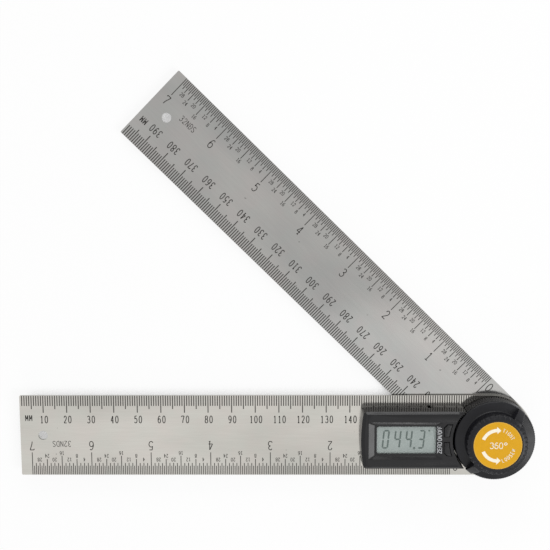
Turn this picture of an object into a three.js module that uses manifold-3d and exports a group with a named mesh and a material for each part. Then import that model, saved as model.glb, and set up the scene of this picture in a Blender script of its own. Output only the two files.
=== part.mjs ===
// Digital angle finder: two steel rules on one pivot, a display housing, an angle sensor under a locking knob.
// Millimetres, +Z up. The origin is on the pivot axis, on the surface that the tool lies on.
// The fixed rule runs along -X, and the moving rule passes under it.
import * as THREE from "three";
import { mergeVertices } from "three/addons/utils/BufferGeometryUtils.js";
import Module from "manifold-3d";

const wasm = await Module();
wasm.setup();

// Rules
const ruleWidth = 34.7;
const ruleReach = 200; // pivot to the square end
const ruleThickness = 1.2;
const ruleCorner = 0.3; // cut off each corner of the square end
const hangHoleRadius = 2;
const hangHoleInset = 9.6; // from the square end
const restAngle = 44.6; // degrees between the two rules

// General clearances
const overrun = 1; // how far every cutter passes a face
const runGap = 0.2; // round pieces that turn on each other
const seatGap = 0.1; // pieces that are dropped into a pocket
const fuse = 0.2; // how far joined shapes of one moulding enter each other

// Rear cap, stud head and hub flange, from the resting surface up
const capPlate = 0.5;
const capDepth = 2.2;
const capRadius = 16.2;
const capWall = 0.8;
const flangeThickness = 0.7;
const flangeRadius = 10.2;
const hubRadius = 6.2;
const hubRise = 1.5; // above the fixed rule
const studRadius = 3;
const studFlat = 2.6; // axis to each flat
const studHeadRadius = 6.6;
const studHeadThickness = 0.9;
const studRise = 12.2;
const washerThickness = 0.3;
const washerRadius = 16;

// Levels
const movingBottom = capDepth;
const movingTop = movingBottom + ruleThickness;
const fixedBottom = movingTop + washerThickness;
const deck = fixedBottom + ruleThickness; // the top face of the fixed rule
const flangeBottom = movingBottom - flangeThickness;

// Countersunk screws
const screwHeadRadius = 1.5;
const screwHeadDepth = 0.8;
const screwRadius = 0.8;
const screwSink = 0.05;
const capScrewCircle = 13.4;
const capBossRadius = 2.1;
const hubScrewCircle = 8.4;
const hubScrewHeadRadius = 1.3;
const hubScrewHeadDepth = 0.5;
const coverScrewCircle = 12.7;
const coverScrewGrip = 2.6; // how far it enters the cover's bosses
const rotorScrewCircle = 4.8;
const rotorScrewHeadRadius = 0.9;
const rotorScrewHeadDepth = 0.5;
const rotorScrewShank = 0.55;
const rotorScrewGrip = 1.2;
const screwsInRing = 3;

// Angle sensor
const boardThickness = 0.8;
const statorLift = 0.3;
const statorInner = 7;
const statorOuter = 14.3;
const rotorOuter = 10.9;
const rotorInner = 3.9;
const rotorWindowInner = 7.4;
const rotorWindowOuter = 9.6;
const rotorWindowShare = 0.5;
const rotorWindows = 8;
const coverOuter = 15.7;
const coverWall = 1;
const coverRise = 4.8;
const coverRoof = 1.2;
const coverBossRadius = 1.45;
const cableWidth = 6;
const cableThickness = 0.2;
const cableLift = 0.1;
const cableSlotHeight = 0.45;
const cableStart = 11.5;

// Clamp
const thrustRadius = 8.5;
const thrustThickness = 0.6;
const waveInner = 4;
const waveOuter = 7.6;
const waveThickness = 0.3;
const waveHeight = 0.3; // half of the wave, crest to middle
const waveCrests = 4;
const insertRadius = 5;
const insertLength = 6;
const insertGroove = 0.4;
const insertBand = 1.6;
const insertTeeth = 18;

// Knob
const knobLift = 0.6; // skirt above the fixed rule
const skirtRadius = 16.9;
const skirtTooth = 0.4;
const skirtTeeth = 72;
const skirtWall = 0.8;
const skirtShoulder = 8.3;
const skirtBevel = 0.7;
const skirtRoof = 1.1;
const bossRadius = 12.6;
const bossFoot = 8.95;
const bossRise = 15.2;
const bossBevel = 0.6;
const bossFlute = 0.45;
const bossFlutes = 36;
const bossLandShare = 0.45;
const bossWall = 1.3;
const bossRoof = 1.6;
const socketWall = 1.6;
const wingAngle = 50; // degrees from +X at rest
const wingRoot = 4.4;
const wingTip = 2.8;
const wingReach = 17.05;
const wingCrest = 14.75;
const wingEnd = 9.8;
const wingRound = 0.7;
const labelRadius = 10;
const labelThickness = 0.3;
const labelRecess = 0.4;

// Coin cell, and the display housing that is as wide as the cell needs
const cellRadius = 10;
const cellHeight = 3.2;
const cellX = -36.4;
const cellStep = 0.3;
const cellStepHeight = 0.5;
const cellRoom = 0.65; // from the cell to the long walls
const housingWall = 1.2;
const housingHalfWidth = cellRadius + cellRoom + housingWall;
const housingCornerX = 54.4; // pivot to its far corners
const housingBow = 0.8;
const housingCorner = 1.5;
const housingArc = 17.35; // concave end round the knob
const housingRise = 8.3;
const housingEdge = 0.3;
const housingArcWall = 0.75;
const housingCeiling = 6.7;
const recessFloor = 7.5;
const recessCorner = 0.8;
const pane = { left: -49, right: -24.4, low: -5.7, high: 5.8 }; // the clear window
const floorMargin = { left: 1.1, right: 0.3, low: 1.1, high: 0.9 }; // recess floor left round the pane
const recessSlope = { left: 2.4, right: 2.5, low: 1.4, high: 1.2 }; // run of each sloping side
const windowRest = 6.7;
const panelMargin = 1.2; // display glass past the pane
const panelThickness = 1.2;
const panelDrop = 0.1; // below the ceiling
const stripWidth = 1.2;
const stripInset = 0.4;
const mainBoardThickness = 0.6;
const mainBoardLevel = 4.2;
const mainBoardMargin = 0.3;
const bossColumn = 1.9;
const housingScrewGrip = 3;
const housingScrewX = [-52, -22.6];
const housingScrewInset = 1.6; // from the wall's inside

// Buttons
const buttonLeft = -21.1;
const buttonArc = 19; // their right sides follow the knob
const buttonEnds = { zero: { near: -0.7, far: -6.4 }, power: { near: 1.8, far: 6.9 } };
const buttonCut = 1.4; // off the far corner beside the display
const buttonProud = 0.35;
const buttonFlange = 0.5;
const buttonFlangeHeight = 0.5;
const buttonTravel = 0.4;
const domeRadius = 1.2;
const domeHeight = 0.4;
const domeGap = 0.05;

// Battery tray
const trayRail = 1.3; // beside the cell
const trayHalfLength = cellRadius + trayRail;
const cableRoom = 1.7; // from the tray to the sensor's cable
const cableEnd = -(cellX + trayHalfLength + cableRoom);
const trayFloor = 0.4;
const trayLift = 0.2;
const trayRim = 2.6;
const trayOverhang = 1.1; // how far the cell stands out behind the tray
const trayFaceHeight = 3.9;
const trayWindowRadius = 7;
const notchRadius = 0.9;
const notchDepth = 0.6;
const notchInset = 1.4; // from the tray's end
const contactThickness = 0.15;
const contactWidth = 3;
const contactLength = 7;
const contactOffset = 5;

// Counts
const roundSides = 48;
const innerSides = 36; // on round pieces that the casings hide
const screwSides = 10;
const waveSteps = 48;
const cornerSteps = 4;
const windowSteps = 2;

const degree = Math.PI / 180;

// A closed geometry as a solid, with its shared corners merged.
function solid(geometry) {
  const bare = geometry.clone();
  bare.deleteAttribute("normal");
  bare.deleteAttribute("uv");
  const merged = mergeVertices(bare, 1e-3);
  const index = merged.index.array;
  const triangles = [];
  for (let i = 0; i < index.length; i += 3) {
    const [a, b, c] = [index[i], index[i + 1], index[i + 2]];
    if (a !== b && b !== c && c !== a) triangles.push(a, b, c);
  }
  return new wasm.Manifold(new wasm.Mesh({
    numProp: 3,
    vertProperties: new Float32Array(merged.attributes.position.array),
    triVerts: new Uint32Array(triangles),
  }));
}

function geometryOf(body) {
  const mesh = body.getMesh();
  const geometry = new THREE.BufferGeometry();
  geometry.setAttribute("position", new THREE.BufferAttribute(new Float32Array(mesh.vertProperties), 3));
  geometry.setIndex(new THREE.BufferAttribute(new Uint32Array(mesh.triVerts), 1));
  geometry.computeVertexNormals();
  return geometry;
}

// A shape in plan, raised from one level to another.
function prism(shape, low, high, curveSegments = cornerSteps) {
  const geometry = new THREE.ExtrudeGeometry(shape, { depth: high - low, bevelEnabled: false, curveSegments });
  geometry.translate(0, 0, low);
  return solid(geometry);
}

// A side profile in X and Z, drawn out along Y on both sides of a middle line.
function sideways(shape, middle, width, curveSegments = cornerSteps) {
  const geometry = new THREE.ExtrudeGeometry(shape, { depth: width, bevelEnabled: false, curveSegments });
  geometry.rotateX(Math.PI / 2);
  geometry.translate(0, middle + width / 2, 0);
  return solid(geometry);
}

// A closed profile of [radius, height] points, listed anticlockwise, turned about the Z axis.
function turned(profile, sides = innerSides) {
  const points = profile.map(([radius, height]) => new THREE.Vector2(radius, height));
  points.push(points[0].clone());
  const geometry = new THREE.LatheGeometry(points, sides);
  geometry.rotateX(Math.PI / 2);
  return solid(geometry);
}

function disc(radius, low, high, sides = innerSides) {
  const geometry = new THREE.CylinderGeometry(radius, radius, high - low, sides);
  geometry.rotateX(Math.PI / 2);
  geometry.translate(0, 0, (low + high) / 2);
  return solid(geometry);
}

function ring(inner, outer, low, high, sides = innerSides) {
  return disc(outer, low, high, sides).subtract(disc(inner, low - overrun, high + overrun, sides));
}

function box(left, right, front, back, low, high) {
  const geometry = new THREE.BoxGeometry(right - left, back - front, high - low);
  geometry.translate((left + right) / 2, (front + back) / 2, (low + high) / 2);
  return solid(geometry);
}

function roundedBox(left, right, front, back, radius) {
  const shape = new THREE.Shape();
  shape.moveTo(left + radius, front);
  shape.absarc(right - radius, front + radius, radius, -Math.PI / 2, 0, false);
  shape.absarc(right - radius, back - radius, radius, 0, Math.PI / 2, false);
  shape.absarc(left + radius, back - radius, radius, Math.PI / 2, Math.PI, false);
  shape.absarc(left + radius, front + radius, radius, Math.PI, Math.PI * 1.5, false);
  return shape;
}

// Evenly spaced angles round the axis, in radians.
function around(count, first = 0) {
  return Array.from({ length: count }, (_, i) => first + (i * 2 * Math.PI) / count);
}

function placed(body, radius, angle) {
  return body.translate([radius * Math.cos(angle), radius * Math.sin(angle), 0]);
}

// A countersunk screw with its head at the bottom, and the hole that takes it.
const commonScrew = { head: screwHeadRadius, depth: screwHeadDepth, shank: screwRadius };
const hubScrew = { head: hubScrewHeadRadius, depth: hubScrewHeadDepth, shank: screwRadius };

function screw(headLevel, tipLevel, { head, depth, shank } = commonScrew) {
  const low = headLevel + screwSink;
  return turned([[0, low], [head, low], [shank, low + depth], [shank, tipLevel], [0, tipLevel]], screwSides);
}

function screwHole(faceLevel, tipLevel, { head, depth, shank } = commonScrew) {
  const mouth = head + seatGap;
  const bore = shank + seatGap;
  return turned([
    [0, faceLevel - overrun], [mouth, faceLevel - overrun], [mouth, faceLevel + screwSink],
    [bore, faceLevel + screwSink + depth], [bore, tipLevel + seatGap], [0, tipLevel + seatGap],
  ], screwSides);
}

// A round outline with a groove between each land and the next.
function toothed(radius, depth, count, landShare) {
  const step = (2 * Math.PI) / count;
  const points = [];
  const at = (r, angle) => points.push(new THREE.Vector2(r * Math.cos(angle), r * Math.sin(angle)));
  for (let i = 0; i < count; i += 1) {
    at(radius, i * step);
    if (landShare > 0) at(radius, (i + landShare) * step);
    at(radius - depth, (i + (1 + landShare) / 2) * step);
  }
  return new THREE.Shape(points);
}

function material(color, roughness, metalness) {
  return new THREE.MeshStandardMaterial({ color, roughness, metalness });
}

const steel = material(0xc3c0ba, 0.35, 1);
const darkSteel = material(0x8f9092, 0.4, 1);
const brass = material(0xb9975b, 0.35, 1);
const blackPlastic = material(0x2a282c, 0.45, 0);
const greyRubber = material(0x3a393c, 0.7, 0);
const orangeLabel = material(0xe4a620, 0.4, 0);
const clearPlastic = material(0xdfe6e4, 0.1, 0);
const displayGlass = material(0xa0afaa, 0.2, 0);
const circuitGreen = material(0x1f5a3a, 0.6, 0);
const paleNylon = material(0xe6e3da, 0.6, 0);
const cableAmber = material(0xb06a22, 0.5, 0);

const tool = new THREE.Group();
const movingGroup = new THREE.Group();
movingGroup.rotation.z = Math.PI - restAngle * degree;
tool.add(movingGroup);

function add(name, body, finish, group = tool) {
  const mesh = new THREE.Mesh(geometryOf(body), finish);
  mesh.name = name;
  group.add(mesh);
  return mesh;
}

// The rule's outline along +X: a half-round end about the pivot and a square far end.
function ruleOutline() {
  const half = ruleWidth / 2;
  const shape = new THREE.Shape();
  shape.absarc(0, 0, half, Math.PI / 2, Math.PI * 1.5, false);
  shape.lineTo(ruleReach - ruleCorner, -half);
  shape.lineTo(ruleReach, ruleCorner - half);
  shape.lineTo(ruleReach, half - ruleCorner);
  shape.lineTo(ruleReach - ruleCorner, half);
  return shape;
}

function rule(low) {
  const hang = disc(hangHoleRadius, low - overrun, low + ruleThickness + overrun, roundSides / 2)
    .translate([ruleReach - hangHoleInset, 0, 0]);
  const pivotHole = disc(hubRadius + runGap, low - overrun, low + ruleThickness + overrun, roundSides);
  return prism(ruleOutline(), low, low + ruleThickness, roundSides / 2).subtract(hang).subtract(pivotHole);
}

// Moving rule, the hub that it turns on, and the cap behind them
function movingArm() {
  const capAngles = around(screwsInRing, Math.PI / screwsInRing);
  const hubAngles = around(screwsInRing);
  const capTip = movingTop - seatGap;
  const hubTip = movingTop - seatGap;
  let blade = rule(movingBottom);
  let hub = turned([
    [studRadius + runGap, flangeBottom], [flangeRadius, flangeBottom], [flangeRadius, movingBottom],
    [hubRadius, movingBottom], [hubRadius, deck + hubRise], [studRadius + runGap, deck + hubRise],
  ], roundSides);
  let cap = turned([
    [0, 0], [capRadius - capPlate, 0], [capRadius, capPlate], [capRadius, capDepth],
    [capRadius - capWall, capDepth], [capRadius - capWall, capPlate], [0, capPlate],
  ], roundSides);
  for (const angle of capAngles) {
    cap = cap.add(placed(disc(capBossRadius, capPlate - fuse, capDepth, screwSides), capScrewCircle, angle));
  }
  capAngles.forEach((angle, i) => {
    const hole = placed(screwHole(0, capTip), capScrewCircle, angle);
    cap = cap.subtract(hole);
    blade = blade.subtract(hole);
    add(`cap_screw_${i + 1}`, placed(screw(0, capTip), capScrewCircle, angle), darkSteel, movingGroup);
  });
  hubAngles.forEach((angle, i) => {
    const hole = placed(screwHole(flangeBottom, hubTip, hubScrew), hubScrewCircle, angle);
    hub = hub.subtract(hole);
    blade = blade.subtract(hole);
    const pin = screw(flangeBottom, hubTip, hubScrew);
    add(`hub_screw_${i + 1}`, placed(pin, hubScrewCircle, angle), darkSteel, movingGroup);
  });
  rotorOnHub(hub);
  add("moving_rule", blade, steel, movingGroup);
  add("rear_cap", cap, blackPlastic, movingGroup);
}

// The rotor board is held on top of the hub, and its windows pass over the stator.
function rotorOnHub(hubBody) {
  const low = deck + hubRise;
  const high = low + boardThickness;
  let hub = hubBody;
  let board = ring(rotorInner, rotorOuter, low, high);
  const step = (2 * Math.PI) / rotorWindows;
  for (const angle of around(rotorWindows)) {
    const window = new THREE.Shape();
    window.absarc(0, 0, rotorWindowOuter, angle, angle + step * rotorWindowShare, false);
    window.absarc(0, 0, rotorWindowInner, angle + step * rotorWindowShare, angle, true);
    board = board.subtract(prism(window, low - overrun, high + overrun, windowSteps));
  }
  around(screwsInRing, Math.PI / screwsInRing).forEach((angle, i) => {
    const foot = low - rotorScrewGrip;
    const bore = disc(rotorScrewShank + seatGap, foot - seatGap, high + overrun, screwSides);
    const hole = placed(bore, rotorScrewCircle, angle);
    hub = hub.subtract(hole);
    board = board.subtract(hole);
    const pin = turned([
      [0, foot], [rotorScrewShank, foot], [rotorScrewShank, high], [rotorScrewHeadRadius, high],
      [rotorScrewHeadRadius, high + rotorScrewHeadDepth], [0, high + rotorScrewHeadDepth],
    ], screwSides);
    add(`rotor_screw_${i + 1}`, placed(pin, rotorScrewCircle, angle), darkSteel, movingGroup);
  });
  add("rotor_hub", hub, darkSteel, movingGroup);
  add("rotor_board", board, circuitGreen, movingGroup);
}

// Fixed rule, with the holes of the screws that come up through it
function fixedRule() {
  let blade = rule(fixedBottom).rotate([0, 0, 180]);
  const coverTip = deck + coverScrewGrip;
  around(screwsInRing).forEach((angle, i) => {
    blade = blade.subtract(placed(screwHole(fixedBottom, coverTip), coverScrewCircle, angle));
    add(`cover_screw_${i + 1}`, placed(screw(fixedBottom, coverTip), coverScrewCircle, angle), darkSteel);
  });
  housingScrewPlaces().forEach(([x, y], i) => {
    const tip = deck + housingScrewGrip;
    blade = blade.subtract(screwHole(fixedBottom, tip).translate([x, y, 0]));
    add(`housing_screw_${i + 1}`, screw(fixedBottom, tip).translate([x, y, 0]), darkSteel);
  });
  add("fixed_rule", blade, steel);
}

function housingScrewPlaces() {
  const y = housingHalfWidth - housingWall - housingScrewInset;
  return housingScrewX.flatMap((x) => [[x, y], [x, -y]]);
}

// Stud, washers and the clamp that the knob works on
function clamp() {
  const headLow = flangeBottom - studHeadThickness;
  const head = disc(studHeadRadius, headLow, flangeBottom);
  const shaft = disc(studRadius, flangeBottom - fuse, deck + studRise)
    .intersect(box(-studFlat, studFlat, -studRadius, studRadius, headLow, deck + studRise + overrun));
  add("pivot_stud", head.add(shaft), darkSteel);
  add("friction_washer", ring(hubRadius + runGap, washerRadius, movingTop, fixedBottom), paleNylon);
  const thrustLow = deck + coverRise;
  add("thrust_washer", ring(studRadius + runGap, thrustRadius, thrustLow, thrustLow + thrustThickness), steel);
  add("wave_washer", waveWasher(thrustLow + thrustThickness), steel);
}

// A spring washer: a flat strip round the stud that rises and falls in even waves.
function waveWasher(low) {
  const positions = [];
  const index = [];
  const middle = low + waveHeight + waveThickness / 2;
  around(waveSteps).forEach((angle, i) => {
    const level = middle + waveHeight * Math.cos(waveCrests * angle);
    const corners = [
      [waveInner, -waveThickness / 2], [waveOuter, -waveThickness / 2],
      [waveOuter, waveThickness / 2], [waveInner, waveThickness / 2],
    ];
    for (const [radius, lift] of corners) {
      positions.push(radius * Math.cos(angle), radius * Math.sin(angle), level + lift);
    }
    const next = (i + 1) % waveSteps;
    for (let side = 0; side < corners.length; side += 1) {
      const other = (side + 1) % corners.length;
      const [a, b] = [i * corners.length + side, i * corners.length + other];
      const [c, d] = [next * corners.length + other, next * corners.length + side];
      index.push(a, d, c, a, c, b);
    }
  });
  const geometry = new THREE.BufferGeometry();
  geometry.setAttribute("position", new THREE.Float32BufferAttribute(positions, 3));
  geometry.setIndex(index);
  const body = solid(geometry);
  return body.volume() > 0 ? body : body.mirror([0, 0, 1]);
}

// Stator board and the cup that shuts the sensor in
function sensor() {
  const statorLow = deck + statorLift;
  let stator = ring(statorInner, statorOuter, statorLow, statorLow + boardThickness);
  const roofLow = deck + coverRise - coverRoof;
  const bore = studRadius + runGap;
  let cover = turned([
    [bore, roofLow], [coverOuter - coverWall, roofLow], [coverOuter - coverWall, deck], [coverOuter, deck],
    [coverOuter, deck + coverRise - coverWall], [coverOuter - coverWall, deck + coverRise],
    [bore, deck + coverRise],
  ]);
  const boss = disc(coverBossRadius, deck, roofLow + fuse, screwSides);
  const bossRoom = coverBossRadius + runGap;
  const notch = disc(bossRoom, deck, roofLow, screwSides)
    .add(box(0, coverBossRadius + overrun, -bossRoom / 2, bossRoom / 2, deck, roofLow))
    .translate([coverScrewCircle, 0, 0]);
  for (const angle of around(screwsInRing)) {
    cover = cover.add(placed(boss, coverScrewCircle, angle));
    stator = stator.subtract(notch.rotate([0, 0, angle / degree]));
  }
  for (const angle of around(screwsInRing)) {
    cover = cover.subtract(placed(screwHole(fixedBottom, deck + coverScrewGrip), coverScrewCircle, angle));
  }
  const half = cableWidth / 2 + seatGap;
  const wallEnd = coverWall + overrun - coverOuter;
  const slot = box(-coverOuter - overrun, wallEnd, -half, half, deck - overrun, deck + cableSlotHeight);
  add("stator_board", stator, circuitGreen);
  add("encoder_cover", cover.subtract(slot), blackPlastic);
  add("flex_cable", flexCable(), cableAmber);
}

// The flat cable leaves under the stator, runs along the rule and turns up to the main board.
function flexCable() {
  const low = deck + cableLift;
  const top = deck + mainBoardLevel;
  const profile = new THREE.Shape();
  profile.moveTo(-cableStart, low);
  profile.lineTo(-cableStart, low + cableThickness);
  profile.lineTo(cableThickness - cableEnd, low + cableThickness);
  profile.lineTo(cableThickness - cableEnd, top);
  profile.lineTo(-cableEnd, top);
  profile.lineTo(-cableEnd, low);
  profile.closePath();
  return sideways(profile, 0, cableWidth);
}

// Knob: a turned body cut to a knurled skirt and a fluted boss, with two finger wings
function knob() {
  const low = deck + knobLift;
  const shoulder = deck + skirtShoulder;
  const foot = deck + bossFoot;
  const top = deck + bossRise;
  const spread = skirtTooth; // how far the turned body stands outside the knurls
  const inner = skirtRadius - skirtTooth - skirtWall / 2;
  const insertLow = insertBottom();
  const ceiling = top - bossRoof;
  const bossInner = bossRadius - bossFlute - bossWall;
  const socketInner = insertRadius + seatGap;
  const socketTop = insertLow + insertLength + seatGap;
  const body = turned([
    [0, socketTop], [socketInner, socketTop], [socketInner, insertLow], [socketInner + socketWall, insertLow],
    [socketInner + socketWall, ceiling], [bossInner, ceiling], [bossInner, shoulder - skirtRoof],
    [inner, shoulder - skirtRoof], [inner, low], [skirtRadius + spread, low],
    [skirtRadius + spread, shoulder - skirtBevel - spread], [skirtRadius - skirtBevel, shoulder],
    [bossRadius + spread, foot - (spread * (foot - shoulder)) / (skirtRadius - skirtBevel - bossRadius)],
    [bossRadius + spread, top - bossBevel - spread], [bossRadius - bossBevel, top],
    [labelRadius + seatGap, top], [labelRadius + seatGap, top - labelRecess], [0, top - labelRecess],
  ], roundSides);
  const skirt = prism(toothed(skirtRadius, skirtTooth, skirtTeeth, 0), low - overrun, foot);
  const boss = prism(toothed(bossRadius, bossFlute, bossFlutes, bossLandShare), low, top + overrun);
  let whole = body.intersect(skirt.add(boss));
  for (const turn of [0, 180]) {
    whole = whole.add(wing().rotate([0, 0, wingAngle + turn]));
  }
  add("knob", whole, blackPlastic);
  const labelLow = top - labelRecess;
  add("knob_label", disc(labelRadius, labelLow, labelLow + labelThickness, roundSides), orangeLabel);
  add("knob_insert", knobInsert(insertLow), brass);
}

function insertBottom() {
  return deck + coverRise + thrustThickness + 2 * waveHeight + waveThickness;
}

// One finger wing along +X: it narrows outwards, and its back slopes from the boss to the skirt's edge.
function wing() {
  const start = bossRadius - bossFlute - bossWall / 2;
  const shoulder = deck + skirtShoulder;
  const floor = shoulder - skirtRoof / 2;
  const plan = new THREE.Shape([
    new THREE.Vector2(start, -wingRoot / 2), new THREE.Vector2(wingReach, -wingTip / 2),
    new THREE.Vector2(wingReach, wingTip / 2), new THREE.Vector2(start, wingRoot / 2),
  ]);
  const crest = deck + wingCrest;
  const end = deck + wingEnd;
  const side = new THREE.Shape();
  side.moveTo(start, floor);
  side.lineTo(wingReach, floor);
  side.lineTo(wingReach, end - wingRound);
  side.quadraticCurveTo(wingReach, end, wingReach - wingRound, end + wingRound);
  side.lineTo(bossRadius + wingRound, crest - wingRound);
  side.quadraticCurveTo(bossRadius, crest, bossRadius - wingRound, crest);
  side.lineTo(start, crest);
  side.closePath();
  return prism(plan, floor - overrun, crest + overrun).intersect(sideways(side, 0, 2 * wingRoot));
}

// A brass insert with two knurled bands, bored for the stud's thread
function knobInsert(low) {
  const high = low + insertLength;
  const bore = studRadius + seatGap;
  const neck = insertRadius - insertGroove;
  const core = turned([
    [bore, low], [insertRadius + overrun, low], [insertRadius + overrun, low + insertBand],
    [neck, low + insertBand + insertGroove], [neck, high - insertBand - insertGroove],
    [insertRadius + overrun, high - insertBand], [insertRadius + overrun, high], [bore, high],
  ]);
  const knurls = toothed(insertRadius, insertGroove / 2, insertTeeth, 0);
  return core.intersect(prism(knurls, low - overrun, high + overrun));
}

// The housing's outline, set in from the outside by its walls
function housingOutline(inset, arcInset) {
  const half = housingHalfWidth - inset;
  const arc = housingArc + arcInset;
  const left = inset - housingCornerX;
  const corner = Math.max(housingCorner - inset, ruleCorner);
  const sweep = Math.asin(half / arc);
  const shape = new THREE.Shape();
  shape.moveTo(-arc * Math.cos(sweep), half);
  shape.lineTo(left + corner, half);
  shape.quadraticCurveTo(left, half, left, half - corner);
  shape.quadraticCurveTo(left - 2 * housingBow, 0, left, corner - half);
  shape.quadraticCurveTo(left, -half, left + corner, -half);
  shape.lineTo(-arc * Math.cos(sweep), -half);
  shape.absarc(0, 0, arc, Math.PI + sweep, Math.PI - sweep, true);
  return shape;
}

// An outline raised to a top whose edge is bevelled
function bevelled(shape, low, high, edge) {
  const geometry = new THREE.ExtrudeGeometry(shape, {
    depth: high - low + overrun, bevelEnabled: true, bevelThickness: edge, bevelSize: edge,
    bevelOffset: -edge, bevelSegments: 2, curveSegments: 2 * cornerSteps,
  });
  geometry.translate(0, 0, low - overrun - edge);
  const body = solid(geometry);
  const reach = housingCornerX + 2 * housingBow + overrun;
  const under = box(-reach, reach, -reach, reach, low - 2 * overrun - 2 * edge, low);
  return body.subtract(under);
}

// A solid between two outlines with as many points, one at each level
function loft(lowShape, low, highShape, high) {
  const rings = [[lowShape, low], [highShape, high]].map(([shape, level]) => (
    shape.getPoints(cornerSteps).slice(0, -1).map((point) => [point.x, point.y, level])
  ));
  const count = rings[0].length;
  const index = [];
  for (let i = 0; i < count; i += 1) {
    const next = (i + 1) % count;
    index.push(i, next, count + next, i, count + next, count + i);
    if (i > 1) {
      index.push(0, i, i - 1, count, count + i - 1, count + i);
    }
  }
  const geometry = new THREE.BufferGeometry();
  geometry.setAttribute("position", new THREE.Float32BufferAttribute(rings.flat(2), 3));
  geometry.setIndex(index);
  return solid(geometry);
}

// The pane's outline, moved out on each side by its own amount
function aroundPane(out) {
  const [left, right] = [pane.left - out.left, pane.right + out.right];
  return roundedBox(left, right, pane.low - out.low, pane.high + out.high, recessCorner);
}

function evenly(distance) {
  return { left: distance, right: distance, low: distance, high: distance };
}

// The display's pocket: a flat floor, and sides that each slope out to the face above
function displayPocket(floor, face) {
  const rise = (face - floor + overrun) / (face - floor);
  const out = Object.fromEntries(Object.entries(floorMargin).map(([side, margin]) => (
    [side, margin + recessSlope[side] * rise]
  )));
  return loft(aroundPane(floorMargin), floor, aroundPane(out), face + overrun);
}

// A button, grown by a gap or a flange: straight beside the display, and an arc about the pivot beside the knob
function buttonShape({ near, far }, grow, level, top) {
  const side = Math.sign(far);
  const left = buttonLeft - grow;
  const start = near - side * grow;
  const end = far + side * grow;
  const block = new THREE.Shape([[0, start], [0, end], [left + buttonCut, end], [left, end - side * buttonCut],
    [left, start]].map(([x, y]) => new THREE.Vector2(x, y)));
  const knobSide = disc(buttonArc - grow, level - overrun, top + overrun, 2 * roundSides);
  return prism(block, level, top).subtract(knobSide);
}

function housing() {
  const ceiling = deck + housingCeiling;
  const top = deck + housingRise;
  const pocketFloor = deck + recessFloor;
  let shell = bevelled(housingOutline(0, 0), deck, top, housingEdge)
    .subtract(prism(housingOutline(housingWall, housingArcWall), deck - overrun, ceiling));
  for (const [x, y] of housingScrewPlaces()) {
    const column = disc(bossColumn, deck, deck + mainBoardLevel, screwSides);
    shell = shell.add(column.translate([x, y, 0]));
  }
  for (const [x, y] of housingScrewPlaces()) {
    shell = shell.subtract(screwHole(fixedBottom, deck + housingScrewGrip).translate([x, y, 0]));
  }
  shell = shell.subtract(displayPocket(pocketFloor, top));
  shell = shell.subtract(prism(aroundPane(evenly(seatGap)), ceiling - overrun, top + overrun));
  for (const ends of Object.values(buttonEnds)) {
    shell = shell.subtract(buttonShape(ends, runGap, ceiling - overrun, top + overrun));
  }
  const trayMouth = trayHalfLength + seatGap;
  shell = shell.subtract(box(
    cellX - trayMouth, cellX + trayMouth, housingHalfWidth - housingWall - overrun, housingHalfWidth + overrun,
    deck - overrun, deck + trayLift + trayFaceHeight + seatGap,
  ));
  const half = cableWidth / 2 + seatGap;
  const wallOutside = -housingArc + overrun;
  const wallInside = -housingArc - housingArcWall - overrun;
  shell = shell.subtract(box(wallInside, wallOutside, -half, half, deck - overrun, deck + cableSlotHeight));
  add("housing", shell, blackPlastic);
}

// Window, display glass and the two strips that connect it to the main board
function display() {
  const boardTop = deck + mainBoardLevel + mainBoardThickness;
  const panelTop = deck + housingCeiling - panelDrop;
  const panelLow = panelTop - panelThickness;
  const [left, right] = [pane.left - panelMargin, pane.right + panelMargin];
  const [front, back] = [pane.low - panelMargin, pane.high + panelMargin];
  add("display_window", prism(aroundPane(evenly(0)), deck + windowRest, deck + recessFloor), clearPlastic);
  add("display_panel", box(left, right, front, back, panelLow, panelTop), displayGlass);
  const strips = [front + stripInset, back - stripInset - stripWidth];
  strips.forEach((y, i) => {
    const strip = box(left + stripInset, right - stripInset, y, y + stripWidth, boardTop, panelLow);
    add(`contact_strip_${i + 1}`, strip, greyRubber);
  });
}

function mainBoard() {
  const low = deck + mainBoardLevel;
  const margin = housingWall + mainBoardMargin;
  const outline = housingOutline(margin, housingArcWall + mainBoardMargin);
  add("main_board", prism(outline, low, low + mainBoardThickness), circuitGreen);
}

// Each button is a cap with a flange under the housing's roof, over a dome switch on the board.
function buttons() {
  const boardTop = deck + mainBoardLevel + mainBoardThickness;
  const ceiling = deck + housingCeiling;
  const foot = boardTop + domeHeight + domeGap + buttonTravel;
  for (const [name, ends] of Object.entries(buttonEnds)) {
    const stem = buttonShape(ends, 0, foot, deck + housingRise + buttonProud);
    const flange = buttonShape(ends, buttonFlange, ceiling - buttonFlangeHeight, ceiling);
    const room = prism(housingOutline(housingWall, housingArcWall + seatGap), boardTop, ceiling);
    add(`${name}_button`, stem.add(flange.intersect(room)), greyRubber);
    const middle = [(buttonLeft - buttonArc) / 2, (ends.near + ends.far) / 2];
    const dome = turned([
      [0, boardTop], [domeRadius, boardTop], [domeRadius, boardTop + domeHeight / 2],
      [domeRadius / 2, boardTop + domeHeight], [0, boardTop + domeHeight],
    ], screwSides);
    add(`${name}_switch`, dome.translate([...middle, 0]), steel);
  }
}

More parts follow.
